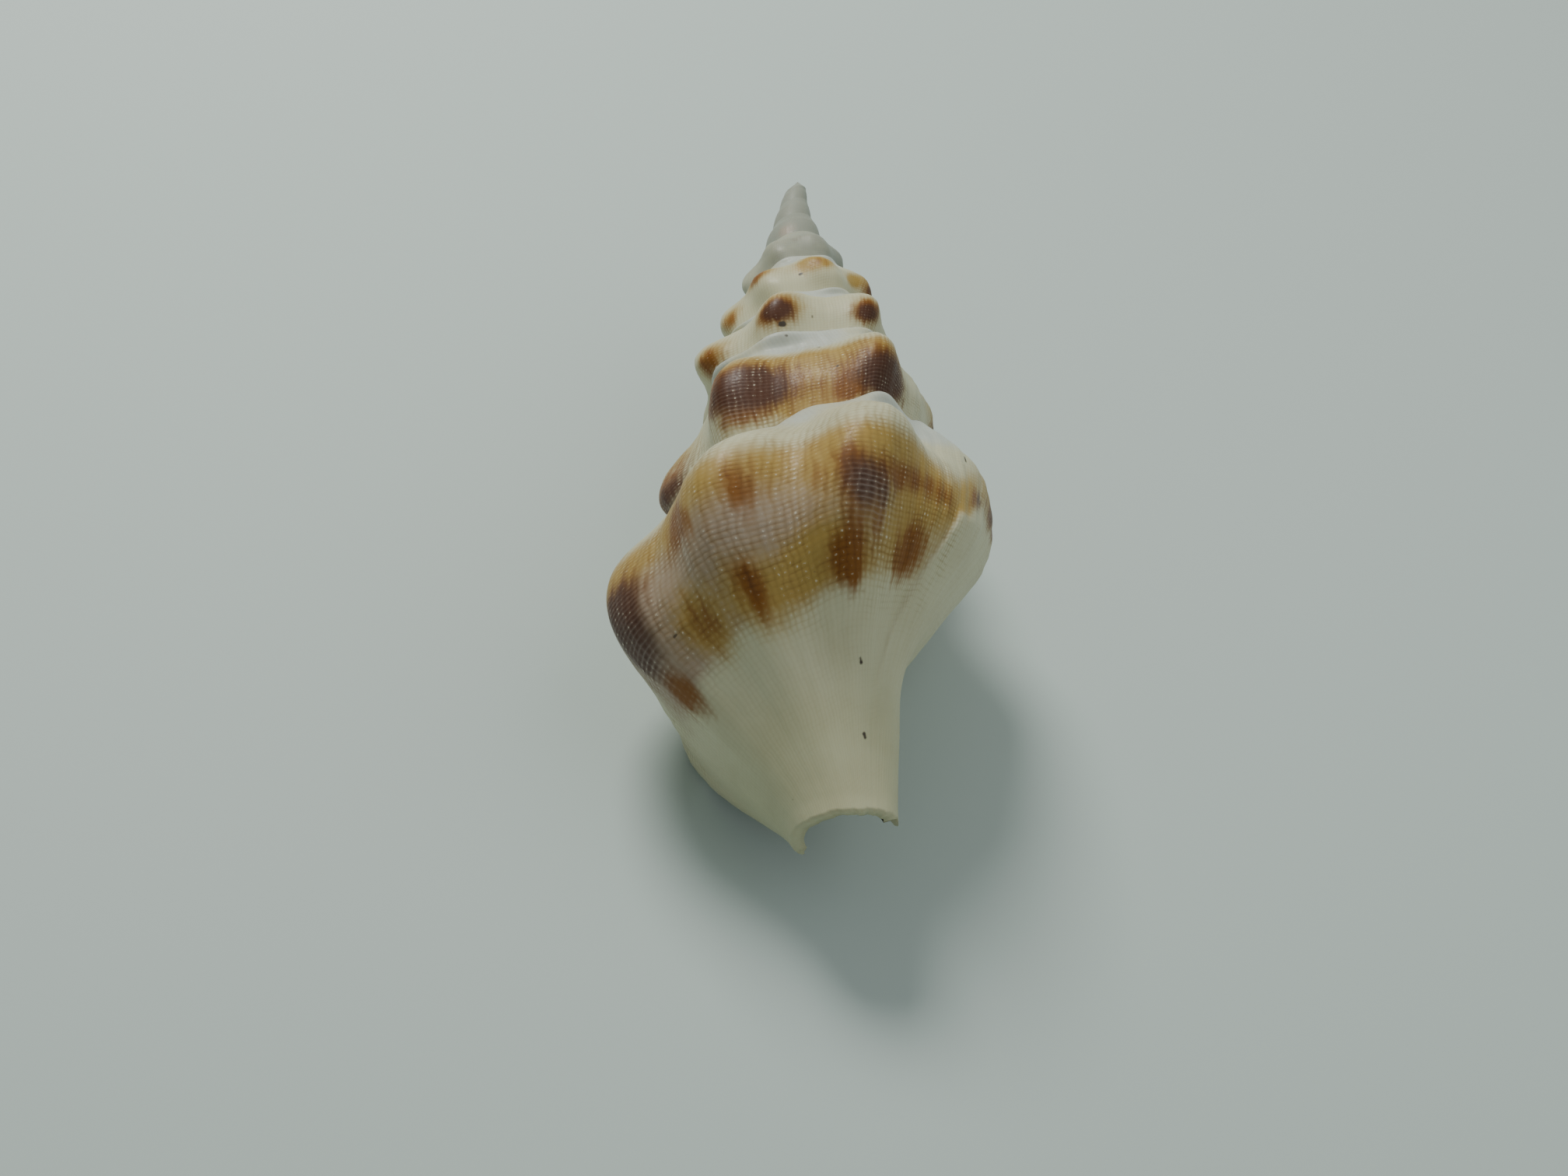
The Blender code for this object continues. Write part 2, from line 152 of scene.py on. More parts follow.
# Growth lines and spiral threads
GROWTH_LEAN = [0.5, 7.5]    # degrees that growth lines fall back for each mm, left and right of the back
GROWTH_TURNS = [5.0, 65.0]  # angles between which they change from the first lean to the second
GROWTH_RETURNS = [200.0, 120.0]     # the same on the underside
ROUND_START = -160.0        # the angle from which a turn round the axis is counted for them
SINUS_ACROSS = 0.2          # where they bend back on the ramp
SINUS_REACH = 0.13
SINUS_DEPTH = 5.0           # degrees
GROWTH_LINE = 0.21 * MM     # distance between growth lines on the last whorl
THREAD = 0.12 * MM          # distance between spiral threads on a whorl as long as THREAD_WHORL
THREAD_WHORL = 4.4          # mm
THREAD_CLOSER = 0.5         # power with which they are closer on shorter whorls

# Growth ripples: waves per turn, height and phase
RIPPLES = [(31, 1.0, 0.0), (49.7, 0.8, 1.3), (13.1, 0.6, 0.4)]
RIPPLE = 0.010 * MM
RIPPLES_START = [0.0, 0.1]  # shares of the whorl
RIPPLES_SINK = [5.5, 9.0]   # mm below the suture
RIPPLES_SUNK = 0.8          # how much lower they are past that

# Step below each suture
LEDGE = 0.07 * MM
LEDGE_STARTS = [0.0, 0.03]  # shares of the whorl
LEDGE_ENDS = [0.30, 0.0]
LEDGE_SUNK = 0.8            # how much lower it is on the first whorls

# Old lip (varix) on the right of the last whorl
VARIX_BELOW = [3.6, 4.3, 5.3, 6.2, 6.8, 8.0]        # mm below the suture of places on its edge
VARIX_ANGLES = [47.0, 43.4, 37.0, 31.0, 25.0, 16.0]     # and their angles
VARIX_STEP = 0.13 * MM
VARIX_RISES = [-1.25, 1.25]     # degrees past the edge
VARIX_SINKS = [34.0, 0.0]
VARIX_STARTS = [3.4, 4.2]   # mm below the suture
VARIX_ENDS = [9.0, 6.0]

# Chips along the outer lip: radians per mm, height and phase
JAGGED_WAVES = [(2.9, 1.0, 0.0), (7.1, 0.6, 1.0), (15.7, 0.3, 0.0)]
JAGGED = 0.0014             # turns that the lip's edge is chipped
JAGGED_IN = 1.6             # added to the waves, so that most chips cut into the edge
JAGGED_TURNS = [0.04, 0.0]  # turns back

# Chips round the canal's end: waves per turn, height and phase
CHIPPED_WAVES = [(7, 1.0, 0.0), (16, 0.8, 0.5), (37, 0.4, 0.0)]
CHIPPED = 0.015 * MM
CHIPPED_IN = 1.2
CHIPPED_DOWN = [0.9, 1.0]   # shares of the way down the base

# Where the ribs and the relief run out
OLDER_RIBS_END = [0.15, 0.0]    # shares of a whorl below its suture, for the ribs of the whorl above
RELIEF_ENDS = [1.0, 0.85]       # shares of the way down the base

# Colours
CREAM = (0.57, 0.55, 0.37, 1)
YELLOWISH = (0.54, 0.53, 0.34, 1)
GREYISH = (0.31, 0.325, 0.270, 1)
# the pale ramp's own colour, made a darker grey as painted shade
CHALK_SHADED = (0.52, 0.55, 0.49, 1)
MAUVE = (0.38, 0.29, 0.21, 1)
GOLDEN = (0.42, 0.275, 0.070, 1)
BROWN = (0.235, 0.085, 0.006, 1)
PURPLE = (0.082, 0.025, 0.008, 1)
HAZE = (0.42, 0.37, 0.33, 1)
# painted highlight: the pale colour of the glints painted on some beads
PAINTED_GLINT_COLOUR = (0.72, 0.67, 0.52, 1)
# painted shade in the grooves and creases, and also the tint of the darker clouds
GROOVE_SHADE_AND_CLOUDS = (0.50, 0.38, 0.22, 1)
DIRT = (0.06, 0.045, 0.03, 1)
# the brown inside of the opening, darkened as painted shade
INSIDE_BROWN_AND_SHADE = (0.20, 0.11, 0.04, 1)

# The first, glassy whorls
GLASSY_TURNS = [3.2, 5.0]   # turns back
GLASSY_GREY = 1.1

# The pale ramp below each suture
RAMP_CHALK = 0.95
RAMP_ENDS = [0.42, 0.14]    # shares of a whorl
RAMP_RIB_ACROSS = 0.5       # it is weaker where a rib is high here
RAMP_RIB_WEAKER = 0.55
# painted shade: the ramp is weaker on the left, between these angles
RAMP_SHADE_ANGLES = [-45, -60]      # angles
RAMP_LEFT_SHADE = 0.7

# The tinted band of the last whorl, and the yellowish base below it
LAST_WHORL = [1.05, 0.95]   # turns back
BAND_STARTS = [2.0, 3.2]    # mm below the suture
BAND_ENDS = [1.31, 1.18]    # shares of a whorl
BAND_LEFT = [-110, -80]     # angles of its left end, its right end and the change of its tint
BAND_RIGHT = [60, 44]
BAND_CHANGES = [-25, 5]
BAND_MAUVE = [0.65, 0.35]   # strengths on its left and its right
BAND_GOLDEN = [0.12, 0.40]
YELLOW_BASE = [1.2, 1.8]    # shares

# How strong the net of threads is
THREADS_LEAST = 0.12
THREADS_START = [0.15, 0.45]    # shares
THREADS_END = [1.38, 1.08]
THREADS_FADE = [1.9, 2.4]   # turns back
THREADS_FAINTER = 0.7

# The old lip's worn surface
WORN_PAST = [-1.0, 1.0]     # degrees past the old lip's edge
WORN_STARTS = [3.6, 4.1]    # mm below the suture
WORN_SMOOTH = [44, 50]      # angles
WORN_ENDS = [110, 90]
WORN_COLOURS = ["mauve", "golden", "brown", "purple", "haze"]
WORN_PALER = 0.85
WORN_SMOOTHER = 0.75

# Coloured marks: colour, angle, mm below the suture, half width in degrees, half height in mm, strength
MARK_NAMES = ["yellow", "grey", "chalk", "mauve", "golden", "brown", "purple", "haze", "dirt"]
BLOTCH_EDGE = 1.2           # how sharply a blotch ends
MARKS = [
    # First rib of the last whorl, on top of the back
    ("golden", 4, 3.5, 19, 0.95, 0.85), ("golden", 26, 3.9, 17, 1.0, 0.85),
    ("brown", 3, 3.85, 14, 0.55, 0.60), ("purple", 5, 4.15, 8.5, 0.60, 0.90),
    ("brown", 0.5, 4.8, 3.5, 1.4, 0.75), ("brown", 7.5, 4.6, 3.0, 0.9, 0.75),
    ("brown", -2.5, 5.75, 6.5, 0.55, 0.85), ("golden", -3, 5.6, 11, 0.6, 0.60),
    ("brown", 18, 3.75, 8, 0.40, 0.65), ("brown", 34, 3.75, 9, 0.50, 0.75),
    ("golden", 18, 4.9, 9, 0.8, 0.50), ("brown", 24, 5.35, 8, 0.62, 1.15),
    ("purple", 24, 5.4, 3, 0.35, 0.35), ("haze", 8, 4.6, 8, 0.7, 0.35),
    # Second rib, to the left
    ("golden", -31, 2.9, 19, 0.8, 0.75), ("brown", -28, 3.45, 5, 0.75, 0.85),
    ("golden", -52, 2.9, 10, 1.0, 0.90), ("brown", -50, 3.45, 6, 0.75, 1.0),
    ("brown", -45, 3.9, 8, 0.5, 0.35), ("mauve", -20, 4.2, 22, 1.1, 0.90),
    ("mauve", -42, 4.5, 14, 1.2, 0.90), ("brown", -32.7, 5.5, 4, 0.60, 1.1),
    ("purple", -32.5, 5.4, 2, 0.35, 0.40), ("golden", -18, 5.6, 11, 0.65, 0.90),
    ("golden", -34, 5.6, 9, 0.8, 0.75), ("golden", -53, 5.9, 9, 0.8, 0.90),
    ("brown", -53, 5.9, 6, 0.6, 0.60), ("haze", -22, 4.3, 16, 0.5, 0.22),
    # Left lobe
    ("golden", -74, 3.3, 12, 0.8, 0.90), ("brown", -77, 4.3, 11, 0.9, 0.95),
    ("purple", -77, 4.6, 10, 0.95, 1.2), ("purple", -77, 5.6, 8, 0.7, 0.75),
    ("haze", -77, 5.7, 8, 0.6, 0.25), ("brown", -77, 6.7, 7, 0.55, 0.95),
    ("mauve", -72, 5.6, 13, 1.1, 0.90),
    # Old lip on the right
    ("golden", 55, 3.2, 9, 0.8, 0.90), ("brown", 61, 3.25, 6, 0.45, 0.90),
    ("purple", 65, 3.15, 4, 0.30, 0.60), ("golden", 50, 5.5, 5, 0.8, 0.45),
    # Whorl above the last: its left side, and two patches on its back with a tan bridge between them
    ("golden", 266, 1.9, 16, 0.6, 0.80), ("brown", 267, 2.7, 14, 0.8, 0.95),
    ("purple", 270, 3.0, 11, 0.5, 0.90), ("golden", 326, 1.5, 20, 0.5, 0.90),
    ("brown", 327, 2.25, 21, 0.85, 1.0), ("purple", 327, 2.3, 18, 0.70, 1.35),
    ("brown", 311, 2.0, 9, 0.5, 0.80), ("golden", 357, 2.4, 20, 1.2, 1.9),
    ("brown", 356, 2.4, 15, 0.8, 0.35), ("brown", 369, 2.9, 6, 0.4, 0.95),
    ("golden", 384, 1.7, 17, 0.45, 0.90), ("brown", 386, 2.4, 18, 0.85, 1.1),
    ("purple", 387, 2.5, 15, 0.70, 1.25), ("golden", 320, 3.0, 14, 0.5, 0.60),
    ("brown", 322, 3.1, 10, 0.35, 0.55), ("haze", 316, 3.1, 12, 0.35, 0.35),
    ("golden", 345, 2.8, 14, 0.5, 0.50),
    # Spots of the whorls above
    ("golden", 700, 1.3, 15, 0.55, 1.0), ("brown", 700, 1.38, 11, 0.42, 1.2),
    ("purple", 700, 1.42, 8.5, 0.33, 1.3), ("golden", 754, 1.4, 12, 0.5, 0.90),
    ("brown", 753, 1.5, 9, 0.42, 1.2), ("purple", 753, 1.55, 8, 0.30, 1.1),
    ("golden", 657, 1.6, 12, 0.5, 0.90), ("brown", 656, 1.75, 9, 0.4, 1.0),
    ("golden", 1040, 0.85, 16, 0.34, 1.0), ("brown", 1039, 0.93, 9, 0.26, 0.90),
    ("golden", 1088, 0.95, 18, 0.34, 1.4), ("brown", 1091, 1.0, 8, 0.2, 0.55),
    ("golden", 1133, 1.1, 9, 0.28, 1.0), ("golden", 1009, 1.5, 9, 0.4, 0.90),
    ("brown", 1009, 1.62, 7, 0.3, 0.80), ("purple", 1435, 0.63, 9, 0.16, 0.30),
    ("mauve", 1779, 0.84, 20, 0.26, 0.55),
    # Specks of dirt, and a hair
    ("dirt", 701, 1.83, 2.6, 0.09, 1.0), ("dirt", 1075, 1.27, 2.4, 0.06, 1.0),
    ("dirt", 360, 0.77, 1.6, 0.05, 0.90), ("dirt", 366, 2.07, 1.2, 0.06, 0.80),
    ("dirt", 3, 7.55, 1.6, 0.09, 1.0), ("dirt", 4, 9.15, 2.6, 0.08, 1.0),
    ("dirt", 65, 1.75, 0.8, 0.20, 1.0),
]

# Marks of each other rib: colour, across, half width in degrees, half height as a share, strength
LAST_MARKED_RIB = 1300
RIBS_WITH_OWN_MARKS = [-87, -32, 6, 254, 318, 385, 645, 699, 757, 994, 1043, 1094]
RIB_MARKS = [
    ("golden", 0.50, 18, 0.26, 0.9), ("brown", 0.66, 13, 0.22, 0.9), ("purple", 0.66, 9, 0.15, 0.75),
    ("golden", 0.98, 13, 0.22, 0.5), ("brown", 1.00, 6, 0.16, 0.7),
]

# Noises of the material, in features per metre
CLOUDS = 700.0
RAGGED = 3500.0
GRAIN = 16000.0
GROWTH_DRIFT = 500.0
THREAD_DRIFT = 600.0
NET_PATCHES = 1300.0
SHINING = 6500.0
SPECKS = 2600.0

# The net in the material
GROWTH_WANDERS = 2.2        # how far the noises shift a growth line or a thread, in spacings
GROWTH_RAGGED = 0.9
THREAD_WANDERS = 0.6
THREAD_RAGGED = 0.5
NET_LEVELS = (0.36, 0.62, 0.25, 1.0)        # low and high noise, and the strength at each
LINE_LEVELS = (0.3, 0.65, 0.35, 1.0)
LINE_GROUPS = 0.35          # features per growth line in the noise that makes some lines stronger
COLUMN_WIDTH = 0.7          # and per growth line and per thread in the noise that streaks the blotches
COLUMN_LENGTH = 0.08
GROOVE_NARROW = 4.0         # powers that narrow a wave to a groove, crease or ridge
CREASE_NARROW = 3.0
THREAD_NARROW = 3.0
GROWTH_NARROW = 2.0
GROOVE_LEVELS = (0.3, 0.6)
# Painted glints: the shining noise, the grain and the beads pick where a painted highlight goes
SHINING_LEVELS = (0.42, 0.60)
GRAIN_LEVELS = (0.45, 0.60)
BEAD_LEVELS = (0.35, 0.85)

# Blotches of the material, from the palest to the darkest: mark, colour, low and high strength, and how
# far its edge follows the noises, the beads and the streaks
PATCHES = [
    ("yellow", YELLOWISH, 0.10, 1.0, 0.20, 0.0, 0.0),
    ("grey", GREYISH, 0.10, 1.0, 0.30, 0.0, 0.0),
    ("chalk", CHALK_SHADED, 0.15, 0.85, 0.30, 0.10, 0.0),
    ("mauve", MAUVE, 0.05, 0.95, 0.25, 0.15, 0.0),
    ("golden", GOLDEN, 0.05, 1.0, 0.25, 0.15, 0.3),
    ("brown", BROWN, 0.10, 1.0, 0.30, 0.15, 1.1),
    ("purple", PURPLE, 0.10, 1.0, 0.30, 0.15, 0.6),
]
DIRT_PATCH = ("dirt", DIRT, 0.3, 0.7, 0.3, 0.0, 0.0)
PATCH_LEVELS = (0.0, 0.08)  # strength of a mark below which its edge isn't roughened

# Tints over the blotches
VEIL_FLAT = 0.2             # strength of the haze between the threads
DARK_LEVELS = (0.2, 0.9)    # strength of the purple on which the threads look paler
DARK_VEIL = 0.10
# strength of the painted highlight on the beads
PAINTED_GLINT_STRENGTH = 0.9
# strengths of the painted shade in the grooves and creases
GROOVE_SHADE = 0.45
CREASE_SHADE = 0.28
CREASE_SHADE_LEAST = 0.05
CLOUD_LEVELS = (0.35, 0.75, 0.0, 0.14)
SPECK_LEVELS = (0.795, 0.83, 0.0, 0.7)
# levels of the inside's brown and its painted shade
INSIDE_SHADE_LEVELS = (0.05, 1.0)

# Gloss and fine relief
ROUGHNESS_LEVELS = (0.3, 0.7, 0.40, 0.58)
GROOVE_ROUGHER = 0.12
THREAD_RELIEF = 0.5         # heights as shares of a bead's
GROWTH_RELIEF = 0.35
GRAIN_RELIEF = 0.30
BUMP = 0.0038 * MM
SPECULAR = 0.32
COAT = 0.03
COAT_ROUGHNESS = 0.2
SUBSURFACE = 0.12
SUBSURFACE_RADIUS = (1.0, 0.7, 0.45)
SUBSURFACE_SCALE = 0.35 * MM

# How the shell lies
TIP_RAISED = 5.4            # degrees that the tip end of the axis rises above the level
ROLLED = -3.1               # degrees that the shell is rolled about its axis
TIP_PLACE = Vector((0.8420, 11.3453, 5.6054)) * MM     # where the tip end of the axis lies

# Camera
CAMERA_PLACE = Vector((-7.174, -38.255, 46.859)) * MM
CAMERA_AZIMUTH = 10.887     # degrees that it looks to the right of +Y
CAMERA_ELEVATION = 50.61    # degrees that it looks down
CAMERA_ROLL = 7.203
CAMERA_SENSOR = 36.0        # mm
CAMERA_LENS = 47.214        # mm
CAMERA_CLIP = 1 * MM

# Floor, lights and sky
FLOOR_REACH = 1500 * MM
FLOOR_COLOUR = (0.52, 0.60, 0.57, 1)
FLOOR_ROUGHNESS = 0.7
LIGHTS = [                  # name, place and width in mm, watts, colour
    ("key", (-30, 80, 100), 50, 0.14, (1.0, 1.0, 0.95)),
    ("fill", (70, -20, 100), 120, 0.03, (0.95, 1.0, 0.99)),
]
SKY_COLOUR = (0.88, 0.98, 0.96, 1)
SKY_STRENGTH = 0.30


def smooth_through(xs, ys, x):
    """Read a smooth curve through the points xs, ys that never overshoots them."""
    xs = np.asarray(xs, float)
    ys = np.asarray(ys, float)
    x = np.clip(x, xs[0], xs[-1])
    step = np.diff(xs)
    rate = np.diff(ys) / step
    slope = np.zeros(len(xs))
    same_way = rate[:-1] * rate[1:] > 0
    weight_a = 2 * step[1:] + step[:-1]
    weight_b = step[1:] + 2 * step[:-1]
    weighted = weight_a / np.where(same_way, rate[:-1], 1) + weight_b / np.where(same_way, rate[1:], 1)
    harmonic = (weight_a + weight_b) / weighted
    slope[1:-1] = np.where(same_way, harmonic, 0.0)
    slope[0] = rate[0]
    slope[-1] = rate[-1]
    part = np.clip(np.searchsorted(xs, x, side="right") - 1, 0, len(step) - 1)
    h = step[part]
    f = (x - xs[part]) / h
    return ((1 + 2 * f) * (1 - f) ** 2 * ys[part] + f * (1 - f) ** 2 * h * slope[part]
            + f * f * (3 - 2 * f) * ys[part + 1] + f * f * (f - 1) * h * slope[part + 1])


def ease(x):
    """Rise smoothly from 0 to 1 as x does."""
    x = np.clip(x, 0.0, 1.0)
    return x * x * (3 - 2 * x)


def rise(x, start, end):
    """Rise smoothly from 0 to 1 as x goes from start to end, which may be the lower of the two."""
    return ease((x - start) / (end - start))


def between(pair, share):
    """Go from the first value of a pair to the second as share goes from 0 to 1."""
    return pair[0] + (pair[1] - pair[0]) * share


def bump_at(x, middle, reach):
    return np.exp(-((x - middle) / reach) ** 2)


def waves(x, parts):
    """Add up sine waves, each given by its rate, height and phase."""
    return sum(height * np.sin(rate * x + phase) for rate, height, phase in parts)


# Turns back that SUTURE_HEIGHTS and WHORL_RADII belong to, from the last value to the first
BACK_STEPS = np.arange(-1, TURNS + 2)


def angle_of(back):
    return LIP_ANGLE + 360.0 * back


def suture_height(back):
    height = smooth_through(BACK_STEPS, np.array(SUTURE_HEIGHTS[::-1]) * MM, back)
    for angle, reach, depth in SUTURE_DIPS:
        height = height + depth * bump_at(angle_of(back), angle, reach)
    return height


def whorl_radius(back):
    return smooth_through(BACK_STEPS, np.array(WHORL_RADII[::-1]) * MM, back)


def rib_height(back, across, down=0.0):
    """How far the ribs swell the surface, as a share of RIB_HEIGHT."""
    angle = angle_of(back)
    side = smooth_through(RIB_ACROSS, RIB_ENVELOPE, across)
    top = smooth_through(RIB_ACROSS, BACK_RIB_ENVELOPE, across)
    total = 0.0
    for rib_angle, height in RIBS:
        on_back = rib_angle in BACK_RIBS
        lean = BACK_RIB_LEAN if on_back else RIB_LEAN
        width = BACK_RIB_WIDTH if on_back else RIB_WIDTH
        away = (angle + lean * (across - 0.5) - rib_angle) / width
        total = total + height * np.exp(-0.5 * away ** 2) * (top if on_back else side)
    return total * smooth_through(DOWN_STEPS, RIB_FADES, down)


def swelling(back, height):
    """How far the uneven swellings raise the surface, or the hollows lower it."""
    total = 0.0
    for place, place_height, reach, reach_along, amount in SWELLINGS:
        away = ((angle_of(back) - place) / reach) ** 2 + ((height - place_height) / reach_along) ** 2
        total = total + amount * np.exp(-away)
    return total


def whorl_radius_across(back, across):
    """Radius of the surface between a whorl's two sutures."""
    radius = whorl_radius(back)
    under_suture = whorl_radius(back + 1) * PROFILE_RADIUS[-1] / radius
    shoulder = PROFILE_RADIUS[0] + (under_suture - PROFILE_RADIUS[0]) * (1 - across / PROFILE_ACROSS[0])
    rest = smooth_through(PROFILE_ACROSS, PROFILE_RADIUS, across)
    profile = np.where(across < PROFILE_ACROSS[0], shoulder, rest)
    straight = under_suture + (PROFILE_RADIUS[-1] - under_suture) * across
    flat = FLATTENED * rise(back, *FLATTENED_BACK)
    profile = profile + flat * (straight - profile)
    top = suture_height(back)
    height = top + across * (suture_height(back - 1) - top)
    fade = rise(across, 0, PROFILE_ACROSS[0])
    return radius * (profile + RIB_HEIGHT * rib_height(back, across)) + swelling(back, height) * fade


def pillar_radius(height):
    """Radius of the central pillar, which thins out along the canal."""
    share = height / AXIS_LENGTH
    radii = [PILLAR_RADIUS * thickness for thickness in PILLAR_THICKNESS] + [CANAL_PILLAR_RADIUS]
    return smooth_through(PILLAR_PLACES, radii, share)


def end_height(back):
    """Height of the front end, which is lowest along the canal."""
    return AXIS_LENGTH - PILLAR_SHORTER * rise(back, *END_CLIMBS)


def base_radius(back, down):
    """Radius of the last whorl below the line where the next suture would be."""
    top = suture_height(back - 1)
    height = top + down * (end_height(back) - top)
    nearness = np.clip(1 - back, 0, 1)
    blend = nearness ** BASE_BLEND
    shape = (smooth_through(DOWN_STEPS, BASE_AT_LIP, down) * blend
             + smooth_through(DOWN_STEPS, BASE_ONE_TURN_BACK, down) * (1 - blend))
    open_canal = between([CANAL_RADIUS, CANAL_LIP_RADIUS], rise(nearness, CANAL_OPENS, 1))
    inner = pillar_radius(height)
    canal = inner + (open_canal - inner) * rise(nearness, 0, PILLAR_LEAVES)
    edge = whorl_radius(back) * PROFILE_RADIUS[-1]
    return canal + (edge - canal) * shape + whorl_radius(back) * RIB_HEIGHT * rib_height(back, 1.0, down)


def lip_flare(back, height):
    """How far the outer lip's edge spreads outwards."""
    along = bump_at(height, LIP_FLARE_HEIGHT, LIP_FLARE_REACH)
    return LIP_FLARE * along * rise(back, LIP_FLARE_TURN, 0)


def outer_radius(back, height):
    """Radius of the outer surface of the last whorl at any height."""
    top = suture_height(back)
    edge = suture_height(back - 1)
    across = np.clip((height - top) / (edge - top), 0, 1)
    down = np.clip((height - edge) / (end_height(back) - edge), 0, 1)
    on_base = base_radius(back, down) + swelling(back, height)
    return np.where(height < edge, whorl_radius_across(back, across), on_base) + lip_flare(back, height)


def soft_radius(back, height):
    """The same with its profile softened, away from the suture above it."""
    plain = outer_radius(back, height)
    soft = sum(weight * outer_radius(back, height + offset) for offset, weight in SOFTENED)
    top = suture_height(back)
    across = (height - top) / (suture_height(back - 1) - top)
    share = rise(back, 1, SOFTENED_BACK) * rise(across, 0, SOFTENED_ACROSS)
    return plain + share * (soft - plain)


def to_space(back, height, radius):
    """Turn places on the shell into points, with the axis along -Y and the tip at the origin."""
    angle, height, radius = np.broadcast_arrays(np.radians(angle_of(back)), height, radius)
    lean = TIP_LEAN * np.clip(1 - height / TIP_LEAN_HEIGHT, 0, 1) ** 2
    return np.stack([radius * np.sin(angle) + lean, -height, radius * np.cos(angle)], axis=-1)


def lay_down(points):
    """Place points of the shell as it lies, flattened where it rests."""
    turn = Matrix.Rotation(math.radians(TIP_RAISED), 3, "X") @ Matrix.Rotation(math.radians(ROLLED), 3, "Y")
    placed = points @ np.array(turn).T + np.array(TIP_PLACE)
    placed[:, 2] = np.maximum(placed[:, 2], 0.0)
    return placed


def growth_lean(angle):
    """Degrees that a growth line falls back for each mm down a whorl."""
    angle = (angle - ROUND_START) % 360.0 + ROUND_START
    return between(GROWTH_LEAN, rise(angle, *GROWTH_TURNS) * rise(angle, *GROWTH_RETURNS))


def growth_angle(back, below):
    """The angle where the growth line through a place crosses the suture."""
    across = below / (suture_height(back - 1) - suture_height(back))
    sinus = SINUS_DEPTH * bump_at(across, SINUS_ACROSS, SINUS_REACH)
    return angle_of(back) + growth_lean(angle_of(back)) * below / MM - sinus


def past_varix(back, below):
    """Degrees to the right of the old lip's edge, which crosses the last whorl."""
    return angle_of(back) - smooth_through(VARIX_BELOW, VARIX_ANGLES, below / MM)


def glassy(back):
    """1 on the first, glassy whorls and 0 on the later ones."""
    return rise(back, *GLASSY_TURNS)


def relief(back, height):
    """Growth ripples, the step below the suture and the old lip's edge, as a distance outwards."""
    below = height - suture_height(back)
    across = below / (suture_height(back - 1) - suture_height(back))
    size = whorl_radius(back) / whorl_radius(0)
    ripples = RIPPLE * size * waves(np.radians(growth_angle(back, below)), RIPPLES)
    ripples = ripples * rise(across, *RIPPLES_START) * (1 - RIPPLES_SUNK * rise(below / MM, *RIPPLES_SINK))
    ledge = LEDGE * size * rise(across, *LEDGE_STARTS) * rise(across, *LEDGE_ENDS)
    ledge = ledge * (1 - LEDGE_SUNK * glassy(back))
    past = past_varix(back, below)
    varix = VARIX_STEP * rise(past, *VARIX_RISES) * rise(past, *VARIX_SINKS)
    varix = varix * rise(below / MM, *VARIX_STARTS) * rise(below / MM, *VARIX_ENDS)
    return ripples + ledge + varix


def chipped_back(back, height):
    """Shift places near the outer lip's edge, which is a little uneven."""
    chips = waves(height / MM, JAGGED_WAVES) + JAGGED_IN
    return back + JAGGED * chips * rise(back, *JAGGED_TURNS)


def chipped_height(back, height, down):
    """Shift places near the canal's end in the same way."""
    chips = waves(np.radians(angle_of(back)), CHIPPED_WAVES) + CHIPPED_IN
    return height - CHIPPED * chips * rise(down, *CHIPPED_DOWN)


class Surface:
    """Collects sheets of points with their places on the shell, and the faces between them."""

    def __init__(self):
        self.points = []
        self.places = []
        self.faces = []
        self.count = 0

    def grid(self, points, back, below, share, inside):
        """Add a grid of points and return their numbers."""
        shape = points.shape[:2]
        numbers = self.count + np.arange(shape[0] * shape[1]).reshape(shape)
        places = np.stack([np.broadcast_to(value, shape) for value in (back, below, share, inside)], axis=-1)
        self.points.append(points.reshape(-1, 3))
        self.places.append(places.reshape(-1, 4))
        self.count += shape[0] * shape[1]
        return numbers

    def sheet(self, numbers):
        """Join a grid's neighbours with quads."""
        quads = np.stack([numbers[:-1, :-1], numbers[:-1, 1:], numbers[1:, 1:], numbers[1:, :-1]], axis=-1)
        self.faces.extend(quads.reshape(-1, 4).tolist())

    def bridge(self, first, first_places, second, second_places):
        """Join two chains of points with triangles, moving along both in step."""
        i = 0
        j = 0
        while i < len(first) - 1 or j < len(second) - 1:
            go_first = j == len(second) - 1
            if not go_first and i < len(first) - 1:
                go_first = first_places[i + 1] <= second_places[j + 1]
            if go_first:
                self.faces.append([int(first[i]), int(second[j]), int(first[i + 1])])
                i += 1
            else:
                self.faces.append([int(first[i]), int(second[j]), int(second[j + 1])])
                j += 1


def spiral_backs():
    """Turns back of every column, tip first, closer together on the larger whorls."""
    backs = []
    for turn in reversed(range(TURNS)):
        count = COLUMNS_BY_TURN[turn]
        backs.extend(turn + 1 - np.arange(count) / count)
    return np.array(backs + [0.0])


